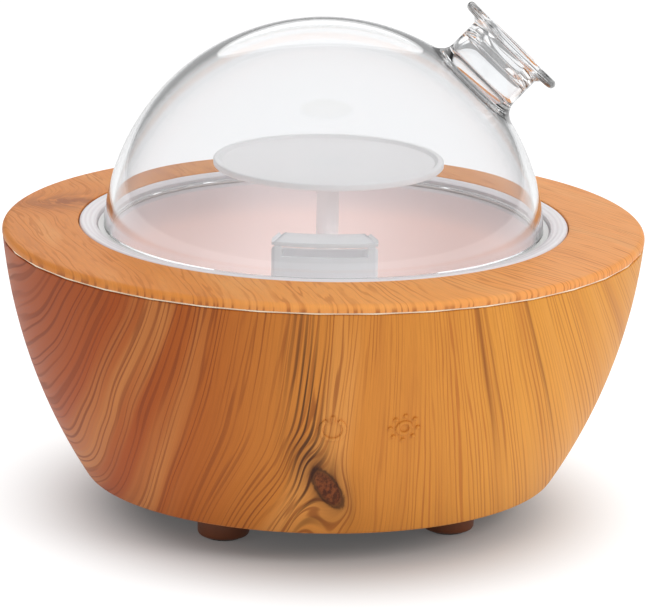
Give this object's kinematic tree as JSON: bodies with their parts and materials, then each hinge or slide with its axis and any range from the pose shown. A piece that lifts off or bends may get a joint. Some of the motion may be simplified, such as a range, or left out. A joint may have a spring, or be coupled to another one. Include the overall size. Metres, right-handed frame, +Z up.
{
  "type": "essential oil diffuser",
  "caption": "Round wood-look ultrasonic oil diffuser with a water tank, air duct, mist shield and lift-off glass dome with an angled neck.",
  "frame": {"origin": "on the surface under the feet, on the body's axis", "axes": "+Z up, -Y towards the touch icons, +X to the right seen from the icons"},
  "size_m": [0.201, 0.201, 0.16],
  "materials": {
    "wood": "wood-grain film over moulded shell, satin",
    "cream_trim": "satin",
    "frosted_plastic": "frosted translucent",
    "clear_glass": "clear, polished",
    "silicone": "milky",
    "brown_plastic": "satin",
    "black_rubber": "matt",
    "dark_plastic": "fine texture",
    "pale_plastic": "satin",
    "steel": "zinc plated",
    "brass": "bare",
    "circuit_board": "solder mask",
    "aluminium_fins": "extruded",
    "light_lens": "warm lens",
    "red_wire": "insulated"
  },
  "bodies": {
    "base": {"base_shell": "wood", "top_cover": "wood", "seam_ring": "cream_trim", "water_tank": "frosted_plastic", "air_duct": "frosted_plastic", "duct_cap": "frosted_plastic", "disc_seal": "silicone", "foot_1": "brown_plastic", "foot_2": "brown_plastic", "foot_3": "brown_plastic", "foot_4": "brown_plastic", "foot_pad_1": "black_rubber", "foot_pad_2": "black_rubber", "foot_pad_3": "black_rubber", "foot_pad_4": "black_rubber", "bottom_plate": "dark_plastic", "fan_frame": "dark_plastic", "air_funnel": "dark_plastic", "dc_jack": "dark_plastic", "inductor": "dark_plastic", "capacitor": "dark_plastic", "transistor": "dark_plastic", "disc_retainer": "pale_plastic", "fan_plug": "pale_plastic", "disc_plug": "pale_plastic", "case_screw_1": "steel", "case_screw_2": "steel", "case_screw_3": "steel", "case_screw_4": "steel", "fan_screw_1": "steel", "fan_screw_2": "steel", "retainer_screw_1": "steel", "retainer_screw_2": "steel", "retainer_screw_3": "steel", "board_screw_1": "steel", "board_screw_2": "steel", "light_screw_1": "steel", "light_screw_2": "steel", "jack_nut": "steel", "jack_pin": "steel", "touch_pad_power": "steel", "touch_pad_light": "steel", "ultrasonic_disc": "brass", "fan_motor": "brass", "main_board": "circuit_board", "touch_board": "circuit_board", "light_board": "circuit_board", "heat_sink": "aluminium_fins", "light_1": "light_lens", "light_2": "light_lens", "light_3": "light_lens", "jack_wire": "red_wire", "fan_wire": "red_wire", "disc_wire": "red_wire"},
    "seal_ring": {"dome_seal": "silicone"},
    "dome": {"glass_dome": "clear_glass"},
    "mist_shield": {"shield_disc": "frosted_plastic", "shield_stem": "frosted_plastic"},
    "impeller": {"fan_impeller": "dark_plastic", "fan_shaft": "steel"}
  },
  "joints": [
    {"name": "dome_lift", "type": "slide", "parent": "base", "child": "seal_ring", "axis": [0, 0, 1], "range_m": [0, 0.11]},
    {"name": "dome_swivel", "type": "hinge", "parent": "seal_ring", "child": "dome", "pos_m": [0, 0, 0.0863], "axis": [0, 0, 1], "continuous": true},
    {"name": "shield_lift", "type": "slide", "parent": "base", "child": "mist_shield", "axis": [0, 0, 1], "range_m": [0, 0.055]},
    {"name": "fan_spin", "type": "hinge", "parent": "base", "child": "impeller", "pos_m": [-0.00541, -0.03559, 0.0215], "axis": [0, 0, 1], "continuous": true}
  ],
  "couplings": [
    {"joint": "shield_lift", "follows": "dome_lift", "ratio": 0.5}
  ]
}
